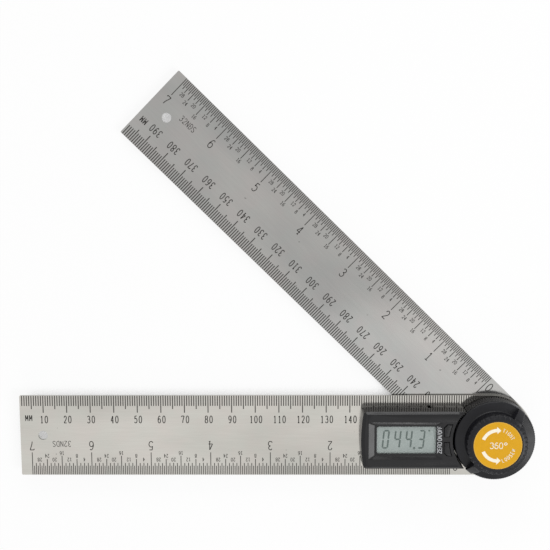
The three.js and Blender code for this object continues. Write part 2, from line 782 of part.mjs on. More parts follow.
// The coin cell lies in a tray that pulls out of the housing's long side.
function battery() {
  const floorLow = deck + trayLift;
  const floorTop = floorLow + trayFloor;
  const pocket = cellRadius + seatGap;
  const wallInside = housingHalfWidth - housingWall;
  const frameEnd = wallInside - seatGap;
  const back = trayOverhang - cellRadius;
  const [left, right] = [cellX - trayHalfLength, cellX + trayHalfLength];
  let tray = box(left + seatGap, right - seatGap, back, frameEnd, floorLow, floorLow + trayRim)
    .subtract(disc(pocket, floorTop, deck + mainBoardLevel).translate([cellX, 0, 0]))
    .subtract(disc(trayWindowRadius, deck, deck + mainBoardLevel).translate([cellX, 0, 0]));
  const face = box(left, right, frameEnd - fuse, housingHalfWidth, floorLow, floorLow + trayFaceHeight)
    .subtract(disc(pocket, floorTop, deck + mainBoardLevel).translate([cellX, 0, 0]));
  const notch = disc(notchRadius, floorLow - overrun, floorLow + trayFaceHeight / 2, screwSides)
    .translate([right - notchInset, housingHalfWidth + notchRadius - notchDepth, 0]);
  tray = tray.add(face).subtract(notch);
  add("battery_tray", tray, blackPlastic);
  const cell = turned([
    [0, floorTop], [cellRadius - cellStep, floorTop], [cellRadius - cellStep, floorTop + cellStepHeight],
    [cellRadius, floorTop + cellStepHeight], [cellRadius, floorTop + cellHeight], [0, floorTop + cellHeight],
  ]).translate([cellX, 0, 0]);
  add("coin_cell", cell, steel);
  [-1, 1].forEach((side, i) => {
    add(`battery_contact_${i + 1}`, contact(floorTop + cellHeight, side), brass);
  });
}

// A leaf under the main board whose bent end lies on the cell
function contact(cellTop, side) {
  const board = deck + mainBoardLevel;
  const x = cellX + side * contactOffset;
  const leaf = new THREE.Shape();
  const end = x - contactLength / 2;
  leaf.moveTo(x + contactLength / 2, board);
  leaf.lineTo(end, board);
  leaf.lineTo(end, board - contactThickness);
  leaf.lineTo(x, board - contactThickness);
  leaf.lineTo(x + contactLength / 2, cellTop + domeGap);
  leaf.closePath();
  return sideways(leaf, 0, contactWidth);
}

movingArm();
fixedRule();
clamp();
sensor();
knob();
housing();
display();
mainBoard();
buttons();
battery();

export default tool;
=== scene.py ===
import math
from types import SimpleNamespace

import bmesh
import bpy
from mathutils import Matrix, Vector


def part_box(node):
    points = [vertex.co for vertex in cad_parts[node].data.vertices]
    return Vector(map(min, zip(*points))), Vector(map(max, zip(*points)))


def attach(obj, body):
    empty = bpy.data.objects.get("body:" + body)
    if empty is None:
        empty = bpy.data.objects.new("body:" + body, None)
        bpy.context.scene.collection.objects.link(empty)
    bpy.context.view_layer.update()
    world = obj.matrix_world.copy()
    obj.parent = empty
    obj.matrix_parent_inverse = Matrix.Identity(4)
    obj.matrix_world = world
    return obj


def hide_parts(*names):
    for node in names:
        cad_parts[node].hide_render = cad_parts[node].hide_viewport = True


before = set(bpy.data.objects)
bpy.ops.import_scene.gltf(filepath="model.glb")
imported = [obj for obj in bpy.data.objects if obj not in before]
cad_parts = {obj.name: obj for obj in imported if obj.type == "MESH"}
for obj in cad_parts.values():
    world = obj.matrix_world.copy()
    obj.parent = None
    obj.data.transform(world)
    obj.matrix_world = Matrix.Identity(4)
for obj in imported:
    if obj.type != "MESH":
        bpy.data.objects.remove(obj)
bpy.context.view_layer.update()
mm = 0.001
print("frame loaded:", len(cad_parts), "nodes")

# Camera, fitted to the marks of both rules
camera = {
    "place": (-85.41, 137.97, 470.05),  # mm, in the row frame
    "turn": (-8.46, 0.72, -0.18),  # rotation vector in degrees
    "lens": 74.08, "sensor": 36.0, "clip": (0.01, 20.0),  # mm, mm and metres
}

# Main levels and sizes, read from the frame
fixedLow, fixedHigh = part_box("fixed_rule")
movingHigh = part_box("moving_rule")[1]
deck = fixedHigh.z  # top face of the fixed rule
movingDeck = movingHigh.z  # top face of the moving rule
halfWidth = fixedHigh.y
ruleReach = -fixedLow.x
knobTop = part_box("knob")[1].z
restTurn = math.radians(-44.6)  # the moving rule against the fixed one


def linked(name, data):  # a new object in the scene
    made = bpy.data.objects.new(name, data)
    bpy.context.scene.collection.objects.link(made)
    return made


def makeCamera():
    data = bpy.data.cameras.new("camera")
    data.lens = camera["lens"]
    data.sensor_width = camera["sensor"]
    data.clip_start, data.clip_end = camera["clip"]
    eye = linked("camera", data)
    turn = Vector([math.radians(angle) for angle in camera["turn"]])
    turned = Matrix.Rotation(turn.length, 4, turn.normalized())
    eye.matrix_world = Matrix.Translation(Vector(camera["place"]) * mm) @ turned
    bpy.context.scene.camera = eye


makeCamera()


# Nodes, for materials and for geometry

def feed(tree, node, values):  # links what comes from another node, and sets what doesn't
    for key, value in values.items():
        if isinstance(value, bpy.types.Node):
            value = value.outputs[0]
        if isinstance(value, bpy.types.NodeSocket):
            tree.links.new(value, node.inputs[key])
        else:
            node.inputs[key].default_value = value


def addNode(tree, kind, values=None, **settings):
    node = tree.nodes.new(kind)
    for key, value in settings.items():
        setattr(node, key, value)
    feed(tree, node, values or {})
    return node


def mathNode(tree, operation, first, second):
    return addNode(tree, "ShaderNodeMath", {0: first, 1: second}, operation=operation)


def vector(tree, x=0.0, y=0.0, z=0.0):
    return addNode(tree, "ShaderNodeCombineXYZ", {0: x, 1: y, 2: z})


def rgb(red, green, blue):  # a colour as it looks on a screen, 0 to 255, as linear values
    shown = [channel / 255 for channel in (red, green, blue)]
    return (*[v / 12.92 if v <= 0.04045 else ((v + 0.055) / 1.055) ** 2.4 for v in shown], 1.0)


def noise(tree, coordinates, scale, detail):
    values = {"Vector": coordinates, "Scale": scale, "Detail": detail}
    return addNode(tree, "ShaderNodeTexNoise", values)


def ramp(tree, factor, low, high, lowAt=0.3, highAt=0.7):  # two colours or two greys over a noise
    node = addNode(tree, "ShaderNodeValToRGB", {"Fac": factor})
    for element, place, colour in zip(node.color_ramp.elements, (lowAt, highAt), (low, high)):
        element.position = place
        element.color = colour if isinstance(colour, tuple) else (colour, colour, colour, 1)
    return node


def bump(tree, height, strength, distance):
    values = {"Height": height, "Strength": strength, "Distance": distance}
    return addNode(tree, "ShaderNodeBump", values)


def newMaterial(name):
    material = bpy.data.materials.new(name)
    material.use_nodes = True
    shader = material.node_tree.nodes["Principled BSDF"]
    place = addNode(material.node_tree, "ShaderNodeTexCoord").outputs["Object"]
    return material, material.node_tree, shader, place


def stretched(tree, place, turn, lengths):  # coordinates along a rule, for grain that runs its way
    values = {"Vector": place, "Rotation": (0, 0, turn), "Scale": lengths}
    return addNode(tree, "ShaderNodeMapping", values, vector_type="TEXTURE")


def multiplied(tree, first, second):  # two colours
    values = {0: 1.0, 6: first, 7: second}
    return addNode(tree, "ShaderNodeMix", values, data_type="RGBA", blend_type="MULTIPLY").outputs[2]


# The moving rule's steel gets darker tones than the fixed rule's: painted shade on the same steel, standing
# in for the less light it catches at its angle.
ruleFinish = {  # colours are screen values, noise scales count per metre
    "fixed": ((168, 166, 161), (180, 177, 172)), "moving": ((157, 157, 156), (170, 168, 166)),
    "cloud": (60 * mm, 22 * mm, 30 * mm), "grain": (9 * mm, 0.35 * mm, 9 * mm), "span": (0.35, 0.65),
    "roughness": (0.09, 0.14), "fine": 0.96, "bump": 0.06, "bumpHeight": 0.02 * mm,
    "patchScale": 130, "cool": (0.985, 1.0, 0.985, 1), "warm": (1.0, 0.985, 0.975, 1),
    "speckScale": 420, "speck": 0.62, "speckSpan": (0.785, 0.81),
}


def ruleSteel(name, turn, tones):  # satin stainless steel: clouds, faint grain along the rule, a few specks
    look = SimpleNamespace(**ruleFinish)
    material, tree, shader, place = newMaterial(name)
    clouds = noise(tree, stretched(tree, place, turn, look.cloud), 1, 2)
    patches = noise(tree, place, look.patchScale, 2)
    grain = noise(tree, stretched(tree, place, turn, look.grain), 1, 3)
    dots = noise(tree, place, look.speckScale, 1)
    colour = ramp(tree, clouds, rgb(*tones[0]), rgb(*tones[1]), *look.span)
    for layer in (ramp(tree, grain, look.fine, 1.0, *look.span),
                  ramp(tree, dots, 1.0, look.speck, *look.speckSpan),
                  ramp(tree, patches, look.cool, look.warm, *look.span)):
        colour = multiplied(tree, colour, layer)
    feed(tree, shader, {"Base Color": colour, "Roughness": ramp(tree, clouds, *look.roughness),
                        "Normal": bump(tree, grain, look.bump, look.bumpHeight), "Metallic": 1.0})
    return material


def surface(name, looks, relief=None):  # a look is one value, or a noise: [scale, detail, low, high]
    material, tree, shader, place = newMaterial(name)
    for key, look in looks.items():
        if isinstance(look, list):
            look = ramp(tree, noise(tree, place, *look[:2]), *look[2:])
        feed(tree, shader, {key: look})
    if relief:
        scale, strength, distance = relief
        feed(tree, shader, {"Normal": bump(tree, noise(tree, place, scale, 2), strength, distance)})
    return material


metalFinish = {"scale": 600, "spread": 0.06, "relief": (2400, 0.1, 0.02 * mm)}


def metal(name, low, high, roughness):  # plain machined or pressed metal
    wear, spread = [metalFinish["scale"], 3], metalFinish["spread"]
    looks = {"Base Color": wear + [rgb(*low), rgb(*high)],
             "Roughness": wear + [roughness + spread, roughness - spread], "Metallic": 1.0}
    return surface(name, looks, metalFinish["relief"])


plasticFinish = {"toneScale": 90, "sheenScale": 160, "spread": 0.05, "bumpHeight": 0.05 * mm}


def plastic(name, low, high, roughness, texture, depth, specular=0.4):  # moulded, with a fine spark texture
    spread = plasticFinish["spread"]
    looks = {"Base Color": [plasticFinish["toneScale"], 2, rgb(*low), rgb(*high)],
             "Roughness": [plasticFinish["sheenScale"], 2, roughness - spread, roughness + spread],
             "Specular IOR Level": specular}
    return surface(name, looks, (texture, depth, plasticFinish["bumpHeight"]))


inkFinish = {"scale": 900, "roughness": 0.6, "specular": 0.2}


def ink(name, colour, change=0.86):
    paler = rgb(*colour)
    darker = (*[channel * change for channel in paler[:3]], 1)
    looks = {"Base Color": [inkFinish["scale"], 2, darker, paler], "Roughness": inkFinish["roughness"],
             "Specular IOR Level": inkFinish["specular"]}
    return surface(name, looks)


labelFinish = {
    "middle": (225, 167, 15), "rim": (231, 183, 83), "reach": 10 * mm, "rimShares": (0.965, 0.985),
    "mottleScale": 500, "mottle": 0.95, "roughness": 0.38, "specular": 0.22,
}


def labelPrint():  # orange print that is a little duller towards the rim
    material, tree, shader, place = newMaterial("orange label")
    centred = addNode(tree, "ShaderNodeMapping", {"Vector": place, "Location": (0, 0, -knobTop)})
    distance = addNode(tree, "ShaderNodeVectorMath", {0: centred}, operation="LENGTH").outputs["Value"]
    share = mathNode(tree, "MULTIPLY", distance, 1 / labelFinish["reach"])
    tones = (rgb(*labelFinish["middle"]), rgb(*labelFinish["rim"]))
    base = ramp(tree, share, *tones, *labelFinish["rimShares"])
    mottled = ramp(tree, noise(tree, place, labelFinish["mottleScale"], 3), labelFinish["mottle"], 1.0)
    feed(tree, shader, {"Base Color": multiplied(tree, base, mottled), "Roughness": labelFinish["roughness"],
                        "Specular IOR Level": labelFinish["specular"]})
    return material


windowLooks = {"Base Color": rgb(196, 206, 203), "Alpha": 0.06, "Roughness": [300, 2, 0.03, 0.07]}
glassLooks = {
    "Base Color": [60, 2, rgb(150, 160, 157), rgb(159, 168, 165)], "Roughness": [800, 2, 0.3, 0.36],
}
finish = {
    "fixedSteel": ruleSteel("rule steel, fixed", 0, ruleFinish["fixed"]),
    # the same steel in darker tones: painted shade
    "movingSteel": ruleSteel("rule steel, moving", restTurn, ruleFinish["moving"]),
    "screwSteel": metal("screw steel", (120, 119, 117), (150, 149, 146), 0.35),
    "springSteel": metal("spring steel", (130, 131, 134), (165, 165, 166), 0.3),
    "cellSteel": metal("cell steel", (176, 175, 172), (200, 199, 196), 0.28),
    "brass": metal("brass", (176, 142, 82), (203, 168, 103), 0.34),
    "housingBlack": plastic("black housing plastic", (13, 13, 15), (17, 16, 19), 0.2, 2600, 0.1, 0.31),
    "knobBlack": plastic("black knob plastic", (13, 13, 17), (18, 18, 23), 0.36, 2200, 0.16, 0.26),
    "buttonRubber": plastic("button rubber", (11, 11, 13), (15, 15, 17), 0.42, 3600, 0.2, 0.27),
    "boardGreen": plastic("circuit board", (22, 74, 46), (33, 96, 60), 0.4, 900, 0.25),
    "nylon": plastic("nylon", (214, 210, 198), (230, 227, 217), 0.5, 1500, 0.2),
    "cableAmber": plastic("flat cable", (150, 86, 26), (186, 112, 40), 0.35, 1200, 0.15),
    "window": surface("clear window", windowLooks),
    "label": labelPrint(),
    "glass": surface("display glass", glassLooks),
    "scaleInk": ink("scale ink", (68, 66, 64)),
    "wordInk": ink("word ink", (196, 198, 200)),
    "creamInk": ink("cream ink", (255, 248, 228), 0.96),
    "segmentInk": ink("display segments", (90, 102, 98)),
}
print("materials made:", len(finish))


# Meshes

tidying = {  # how meshes are cleaned and their edges found, with angles in degrees
    "smooth": 30, "merge": 0.0001 * mm, "flatArea": 1e-14,  # square metres
    "cadMerge": 0.002 * mm, "dissolve": 0.6, "level": 0.3, "levelAngle": 12, "angle": 35, "segments": 2,
}


def smooth(mesh, angle=tidying["smooth"]):
    mesh.shade_smooth()
    mesh.set_sharp_from_angle(angle=math.radians(angle))


def plain(name, shape, angle=tidying["smooth"]):  # a bmesh as a finished mesh
    mesh = bpy.data.meshes.new(name)
    shape.to_mesh(mesh)
    shape.free()
    smooth(mesh, angle)
    return mesh


def evaluated(piece):  # the piece's mesh with its modifiers, and the piece gone
    bpy.context.view_layer.update()
    mesh = bpy.data.meshes.new_from_object(piece.evaluated_get(bpy.context.evaluated_depsgraph_get()))
    mesh.name = piece.name
    bpy.data.objects.remove(piece)
    return mesh


def dress(name, mesh, body, material=None, stands=()):  # a finished piece on its body
    piece = linked(name, mesh)
    if material is not None:
        mesh.materials.clear()
        mesh.materials.append(material)
    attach(piece, body)
    if stands:
        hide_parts(*stands)
    return piece


def plate(shape, outline, low, high):  # a flat outline, anticlockwise, as a thin closed solid
    bottom = [shape.verts.new((x, y, low)) for x, y in outline]
    top = [shape.verts.new((x, y, high)) for x, y in outline]
    shape.faces.new(bottom[::-1])
    shape.faces.new(top)
    for i in range(len(outline)):
        j = (i + 1) % len(outline)
        shape.faces.new((bottom[i], bottom[j], top[j], top[i]))


def onCircle(radius, angle):
    return radius * math.cos(angle), radius * math.sin(angle)


def square(x, y, half):
    return [(x - half, y - half), (x + half, y - half), (x + half, y + half), (x - half, y + half)]


def revolved(rows, steps, radiusAt=None):  # closed rows of (radius, height, ...) turned about the axis
    shape = bmesh.new()
    rings = []
    for row in rows:
        ring = []
        for i in range(steps):
            angle = 2 * math.pi * i / steps
            radius = radiusAt(row, angle) if radiusAt else row[0]
            ring.append(shape.verts.new((*onCircle(radius, angle), row[1])))
        rings.append(ring)
    for lower, upper in zip(rings, rings[1:] + rings[:1]):
        for i in range(steps):
            j = (i + 1) % steps
            shape.faces.new((lower[i], lower[j], upper[j], upper[i]))
    bmesh.ops.remove_doubles(shape, verts=shape.verts, dist=tidying["merge"])
    flat = [face for face in shape.faces if face.calc_area() < tidying["flatArea"]]
    bmesh.ops.delete(shape, geom=flat, context="FACES_ONLY")
    bmesh.ops.recalc_face_normals(shape, faces=shape.faces)
    return shape


def arc(centre, radius, start, end, steps):  # points of an arc, angles in degrees
    points = [onCircle(radius, math.radians(start + (end - start) * i / steps)) for i in range(steps + 1)]
    return [(centre[0] + x, centre[1] + y) for x, y in points]


def softened(node, edge, reshape=None):  # a copy of a CAD piece with its edges broken
    shape = bmesh.new()
    shape.from_mesh(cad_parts[node].data)
    bmesh.ops.remove_doubles(shape, verts=shape.verts, dist=tidying["cadMerge"])
    dissolve = math.radians(tidying["dissolve"])
    bmesh.ops.dissolve_limit(shape, angle_limit=dissolve, verts=shape.verts, edges=shape.edges)
    if reshape:
        for vert in shape.verts:
            reshape(vert)
        for x in draft["cuts"]:
            whole = shape.verts[:] + shape.edges[:] + shape.faces[:]
            bmesh.ops.bisect_plane(shape, geom=whole, dist=tidying["cadMerge"], plane_co=(x, 0, 0),
                                   plane_no=(1, 0, 0))
    weight = shape.edges.layers.float.new("bevel_weight_edge")
    for line in shape.edges:
        rise = abs((line.verts[1].co - line.verts[0].co).normalized().z)
        bound = tidying["levelAngle"] if rise < tidying["level"] else tidying["angle"]
        line[weight] = 1.0 if line.calc_face_angle(0) > math.radians(bound) else 0.0
    mesh = plain(node + "_soft", shape, tidying["angle"])
    piece = linked(node + "_soft", mesh)
    bevel = piece.modifiers.new("edges", "BEVEL")
    bevel.width = edge
    bevel.segments = tidying["segments"]
    bevel.limit_method = "WEIGHT"
    bevel.harden_normals = True
    return evaluated(piece)


# Geometry Nodes trees

def newTree(name, sockets):
    tree = bpy.data.node_groups.new(name, "GeometryNodeTree")
    for label, kind in sockets:
        tree.interface.new_socket(label, in_out="INPUT", socket_type="NodeSocket" + kind)
    tree.interface.new_socket("Geometry", in_out="OUTPUT", socket_type="NodeSocketGeometry")
    return tree, addNode(tree, "NodeGroupInput").outputs


def closeTree(tree, geometry, material):  # every tree ends alike
    real = addNode(tree, "GeometryNodeRealizeInstances", {0: geometry})
    painted = addNode(tree, "GeometryNodeSetMaterial", {"Geometry": real, "Material": material})
    addNode(tree, "NodeGroupOutput", {0: painted})


def grown(name, tree, values, mesh=None):  # runs a tree on a mesh and returns what it makes as a plain mesh
    piece = linked(name, mesh or bpy.data.meshes.new(name))
    modifier = piece.modifiers.new("grow", "NODES")
    modifier.node_group = tree
    for item in tree.interface.items_tree:
        if item.in_out == "INPUT" and item.name in values:
            modifier[item.identifier] = values[item.name]
    return evaluated(piece)


def tickTree(name, steps):  # a row of marks whose length depends on the count
    sizes = ["Start", "Pitch", "Edge", "Side", "Line Width", "Depth"] + [f"Every {step}" for step in steps]
    sockets = [("Geometry", "Geometry"), ("Marks", "Int"), ("First", "Int"), ("Ink", "Material")]
    tree, given = newTree(name, sockets + [(size, "Float") for size in sizes])
    values = {"Count": given["Marks"], "Start Location": vector(tree, given["Start"]),
              "Offset": vector(tree, given["Pitch"])}
    line = addNode(tree, "GeometryNodeMeshLine", values)
    index = mathNode(tree, "ADD", addNode(tree, "GeometryNodeInputIndex"), given["First"])
    length = given[f"Every {steps[0]}"]
    for step in steps[1:]:
        left = mathNode(tree, "MODULO", index, float(step))
        onStep = mathNode(tree, "LESS_THAN", left, 0.5)
        values = {0: onStep, "False": length, "True": given[f"Every {step}"]}
        length = addNode(tree, "GeometryNodeSwitch", values, input_type="FLOAT")
    inward = mathNode(tree, "SUBTRACT", given["Edge"], mathNode(tree, "MULTIPLY", length, 0.5))
    shift = vector(tree, y=mathNode(tree, "MULTIPLY", inward, given["Side"]))
    values = {"Geometry": line, "Offset": shift}
    points = addNode(tree, "GeometryNodeSetPosition", values)
    size = vector(tree, given["Line Width"], length, given["Depth"])
    bar = addNode(tree, "GeometryNodeMeshCube", {"Size": (1, 1, 1)})
    values = {"Points": points, "Instance": bar, "Scale": size}
    closeTree(tree, addNode(tree, "GeometryNodeInstanceOnPoints", values), given["Ink"])
    return tree


def screwTree():  # countersunk screws with a cross recess, heads down, one on each point
    sizes = ["Head Radius", "Head Height", "Shank Radius", "Shank Length", "Recess Length", "Recess Width",
             "Recess Depth", "Turn"]
    sockets = [("Geometry", "Geometry"), ("Head Sides", "Int"), ("Shank Sides", "Int"), ("Metal", "Material")]
    tree, given = newTree("countersunk screws", sockets + [(size, "Float") for size in sizes])
    values = {"Vertices": given["Head Sides"], "Radius Top": given["Shank Radius"],
              "Radius Bottom": given["Head Radius"], "Depth": given["Head Height"]}
    head = addNode(tree, "GeometryNodeMeshCone", values)
    values = {"Vertices": given["Shank Sides"], "Radius": given["Shank Radius"],
              "Depth": given["Shank Length"]}
    shank = addNode(tree, "GeometryNodeMeshCylinder", values)
    up = vector(tree, z=mathNode(tree, "MULTIPLY", given["Shank Length"], 0.5))
    raised = addNode(tree, "GeometryNodeTransform", {"Geometry": shank, "Translation": up})
    whole = addNode(tree, "GeometryNodeMeshBoolean", {"Mesh 2": head}, operation="UNION")
    feed(tree, whole, {"Mesh 2": raised})
    cut = addNode(tree, "GeometryNodeMeshBoolean", {"Mesh 1": whole}, operation="DIFFERENCE")
    across = [given["Recess Length"], given["Recess Width"]]
    for sides in (across, across[::-1]):
        size = vector(tree, *sides, given["Recess Depth"])
        feed(tree, cut, {"Mesh 2": addNode(tree, "GeometryNodeMeshCube", {"Size": size})})
    index = addNode(tree, "GeometryNodeInputIndex")
    turn = vector(tree, z=mathNode(tree, "MULTIPLY", index, given["Turn"]))
    values = {"Points": given["Geometry"], "Instance": cut, "Rotation": turn}
    closeTree(tree, addNode(tree, "GeometryNodeInstanceOnPoints", values), given["Metal"])
    return tree


def strokeTree():  # thin flat ribbons along the strokes of letters and figures
    sockets = [("Geometry", "Geometry"), ("Line Width", "Float"), ("Depth", "Float"), ("Steps", "Int"),
               ("Ink", "Material")]
    tree, given = newTree("strokes", sockets)
    curve = addNode(tree, "GeometryNodeMeshToCurve", {0: given["Geometry"]})
    eased = addNode(tree, "GeometryNodeCurveSplineType", {0: curve}, spline_type="CATMULL_ROM")
    values = {"Geometry": eased, "Resolution": given["Steps"]}
    fine = addNode(tree, "GeometryNodeSetSplineResolution", values)
    upright = addNode(tree, "GeometryNodeSetCurveNormal", {"Curve": fine}, mode="Z_UP")
    values = {"Width": given["Line Width"], "Height": given["Depth"]}
    section = addNode(tree, "GeometryNodeCurvePrimitiveQuadrilateral", values)
    values = {"Curve": upright, "Profile Curve": section, "Fill Caps": True}
    closeTree(tree, addNode(tree, "GeometryNodeCurveToMesh", values), given["Ink"])
    return tree


# Letters and figures as an engraver's single strokes, in shares of the width and of the height.
# A stroke of two points is straight, and a longer one is a smooth curve through its points.
letterShares = {
    "0": [[(.5, 1), (.14, .88), (0, .5), (.14, .12), (.5, 0), (.86, .12), (1, .5), (.86, .88), (.5, 1)]],
    "1": [[(.55, 0), (.55, 1)], [(.55, 1), (.2, .82)], [(.2, 0), (.9, 0)]],
    "2": [[(.05, .76), (.2, .94), (.5, 1), (.82, .93), (.94, .74), (.8, .52), (.4, .25), (.05, 0)],
          [(.05, 0), (1, 0)]],
    "3": [[(.08, .86), (.3, .98), (.6, .98), (.88, .86), (.84, .64), (.45, .53)],
          [(.45, .53), (.86, .46), (.98, .26), (.82, .06), (.5, 0), (.2, .03), (.04, .16)]],
    "4": [[(.72, 0), (.72, 1)], [(.72, 1), (.02, .3)], [(.02, .3), (1, .3)], [(.5, 0), (.94, 0)]],
    "5": [[(.9, 1), (.2, 1)], [(.2, 1), (.13, .56)],
          [(.13, .56), (.35, .65), (.65, .64), (.92, .5), (.98, .3), (.82, .08), (.5, 0), (.2, .03),
           (.04, .15)]],
    "6": [[(.88, .9), (.62, 1), (.3, .9), (.07, .6), (.03, .3), (.15, .08), (.5, 0), (.85, .08), (.97, .3),
           (.85, .52), (.5, .6), (.18, .52), (.05, .38)]],
    "7": [[(0, 1), (1, 1)], [(0, 1), (0, .86)], [(1, 1), (.7, .6), (.5, .3), (.42, 0)]],
    "8": [[(.5, 1), (.15, .93), (.08, .77), (.2, .6), (.5, .54), (.8, .6), (.92, .77), (.85, .93), (.5, 1)],
          [(.5, .54), (.15, .46), (0, .27), (.12, .07), (.5, 0), (.88, .07), (1, .27), (.85, .46),
           (.5, .54)]],
    "D": [[(.05, 0), (.05, 1)], [(.05, 1), (.6, .97), (.94, .75), (1, .5), (.94, .25), (.6, .03), (.05, 0)]],
    "E": [[(.08, 0), (.08, 1)], [(.08, 1), (.95, 1)], [(.08, .52), (.8, .52)], [(.08, 0), (.95, 0)]],
    "F": [[(.08, 0), (.08, 1)], [(.08, 1), (.95, 1)], [(.08, .52), (.8, .52)]],
    "G": [[(.93, .84), (.72, .97), (.42, .98), (.12, .8), (0, .5), (.12, .2), (.42, .02), (.74, .03),
           (.95, .2)], [(.95, .2), (.95, .46)], [(.95, .46), (.58, .46)]],
    "H": [[(.06, 0), (.06, 1)], [(.94, 0), (.94, 1)], [(.06, .52), (.94, .52)]],
    "I": [[(.5, 0), (.5, 1)]],
    "L": [[(.1, 1), (.1, 0)], [(.1, 0), (.92, 0)]],
    "M": [[(0, 0), (0, 1)], [(0, 1), (.5, .3)], [(.5, .3), (1, 1)], [(1, 1), (1, 0)]],
    "N": [[(.05, 0), (.05, 1)], [(.05, 1), (.95, 0)], [(.95, 0), (.95, 1)]],
    "R": [[(.08, 0), (.08, 1)], [(.08, 1), (.6, 1), (.9, .88), (.9, .64), (.6, .5), (.08, .5)],
          [(.5, .5), (.98, 0)]],
    "S": [[(.92, .85), (.75, .97), (.45, 1), (.15, .92), (.08, .74), (.25, .58), (.7, .44), (.93, .27),
           (.85, .08), (.5, 0), (.2, .03), (.05, .16)]],
    "T": [[(.5, 0), (.5, 1)], [(0, 1), (1, 1)]],
    "Z": [[(.04, 1), (.96, 1)], [(.96, 1), (.04, 0)], [(.04, 0), (.96, 0)]],
    "/": [[(.1, -.1), (.9, 1.1)]],
    "°": [[(.5, 1), (.2, .93), (.12, .8), (.2, .67), (.5, .6), (.8, .67), (.88, .8), (.8, .93), (.5, 1)]],
}
letterShares["O"] = letterShares["0"]
letterShares["9"] = [[(1 - x, 1 - y) for x, y in stroke] for stroke in letterShares["6"]]


def addStroke(shape, points):
    closed = points[0] == points[-1]
    verts = [shape.verts.new(point) for point in (points[:-1] if closed else points)]
    for first, second in zip(verts, verts[1:] + (verts[:1] if closed else [])):
        shape.edges.new((first, second))


def write(shape, text, height, place, widthShare, gapShare, turn=0.0):  # centred on its place
    pitch = height * (widthShare + gapShare)
    matrix = Matrix.Translation((*place, 0)) @ Matrix.Rotation(turn, 4, "Z")
    for i, letter in enumerate(text):
        width = height * widthShare
        left = (i - (len(text) - 1) / 2) * pitch - width / 2
        for stroke in letterShares[letter]:
            points = [matrix @ Vector((left + x * width, (y - 0.5) * height, 0)) for x, y in stroke]
            addStroke(shape, [tuple(point) for point in points])


def engraved(name, shape, lineWidth, material, steps=4):
    mesh = bpy.data.meshes.new(name)
    shape.to_mesh(mesh)
    shape.free()
    values = {"Line Width": lineWidth, "Depth": scale["depth"], "Steps": steps, "Ink": material}
    return grown(name, strokes, values, mesh)


strokes = strokeTree()
mmTicks = tickTree("millimetre ticks", (1, 5, 10))
inchTicks = tickTree("inch ticks", (1, 2, 4, 8, 16, 32))
print("trees made")


# Rules and their scales, drawn with the far end at -X and then turned onto each rule.
# Shares are a letter's width and the gap after it, as shares of its height.
scale = {
    "bladeEdge": 0.12 * mm, "edgeGap": 0.05 * mm,  # between the rule's edge and its marks
    "mmLine": 0.42 * mm, "inchLine": 0.34 * mm, "depth": 0.02 * mm,
    "inch": 25.4 * mm, "inchZero": 17.5 * mm,  # pivot to the inch scale's zero
    "inches": 7, "parts": 32, "figureParts": 4, "millimetres": 200, "figureSteps": 10,
    "zeroShift": 2.4 * mm, "zeroInset": 3.75 * mm,  # the zero stands beside its mark, towards the pivot
}
mmScale = {
    "figure": 3.0 * mm, "line": 0.38 * mm, "shares": (0.36, 0.29), "shift": 0.25 * mm,
    "word": 2.5 * mm, "wordLine": 0.36 * mm, "wordShares": (0.4, 0.28), "wordPlace": 3.75 * mm,
}
inchScale = {
    "figure": 3.7 * mm, "line": 0.37 * mm, "shares": (0.46, 0.14),
    "small": 1.5 * mm, "smallLine": 0.23 * mm, "smallShares": (0.46, 0.22),
    "word": 2.4 * mm, "wordLine": 0.25 * mm, "wordShares": (0.47, 0.22),
}
fixedScale = {  # lengths of the marks, and places from the rule's edge
    "mmLengths": {1: 4.45 * mm, 5: 5.8 * mm, 10: 7.4 * mm},
    "inchLengths": {1: 3.9 * mm, 2: 5.1 * mm, 4: 5.2 * mm, 8: 6.85 * mm, 16: 8.3 * mm, 32: 9.8 * mm},
    "mmFigure": 10.4 * mm, "mmWord": 9.8 * mm, "inchFigure": 12.8 * mm, "inchWord": 13.6 * mm,
    "small": {4: 6.65 * mm, 8: 8.3 * mm, 16: 9.5 * mm}, "inchWordPlace": 12.8 * mm,  # from the 7 inch mark
    "figures": (200, -1),  # the figure at the pivot, and its change towards the far end
    "reach": 0, "hidden": 0, "side": 1,
}
movingScale = {
    "mmLengths": {1: 4.66 * mm, 5: 5.9 * mm, 10: 7.3 * mm},
    "inchLengths": {1: 3.1 * mm, 2: 4.3 * mm, 4: 4.9 * mm, 8: 6.2 * mm, 16: 8.0 * mm, 32: 9.2 * mm},
    "mmFigure": 10.4 * mm, "mmWord": 10.1 * mm, "inchFigure": 12.15 * mm, "inchWord": 13.1 * mm,
    "small": {4: 6.2 * mm, 8: 7.7 * mm, 16: 9.2 * mm}, "inchWordPlace": 12.95 * mm,
    "figures": (200, 1), "reach": 17 * mm, "hidden": 17 * mm, "side": -1,
}
lastInch = -scale["inchZero"] - scale["inches"] * scale["inch"]  # where the inch scale ends


def facing(side):  # letters stand with their tops towards the rule's edge
    return 0.0 if side > 0 else math.pi


def tickMesh(name, tree, lengths, marks, start, pitch, side, line):
    values = {"Marks": marks[0], "First": marks[1], "Start": start, "Pitch": pitch, "Side": float(side),
              "Edge": halfWidth - scale["edgeGap"], "Line Width": line, "Depth": scale["depth"],
              "Ink": finish["scaleInk"]}
    values.update({f"Every {step}": length for step, length in lengths.items()})
    return grown(name, tree, values)


def mmFigures(places):
    shape = bmesh.new()
    side = places["side"]
    atPivot, change = places["figures"]
    y = side * (halfWidth - places["mmFigure"])
    for distance in range(scale["figureSteps"], scale["millimetres"], scale["figureSteps"]):
        if distance * mm > places["reach"]:
            write(shape, str(atPivot + change * distance), mmScale["figure"],
                  (mmScale["shift"] - distance * mm, y), *mmScale["shares"], facing(side))
    return shape


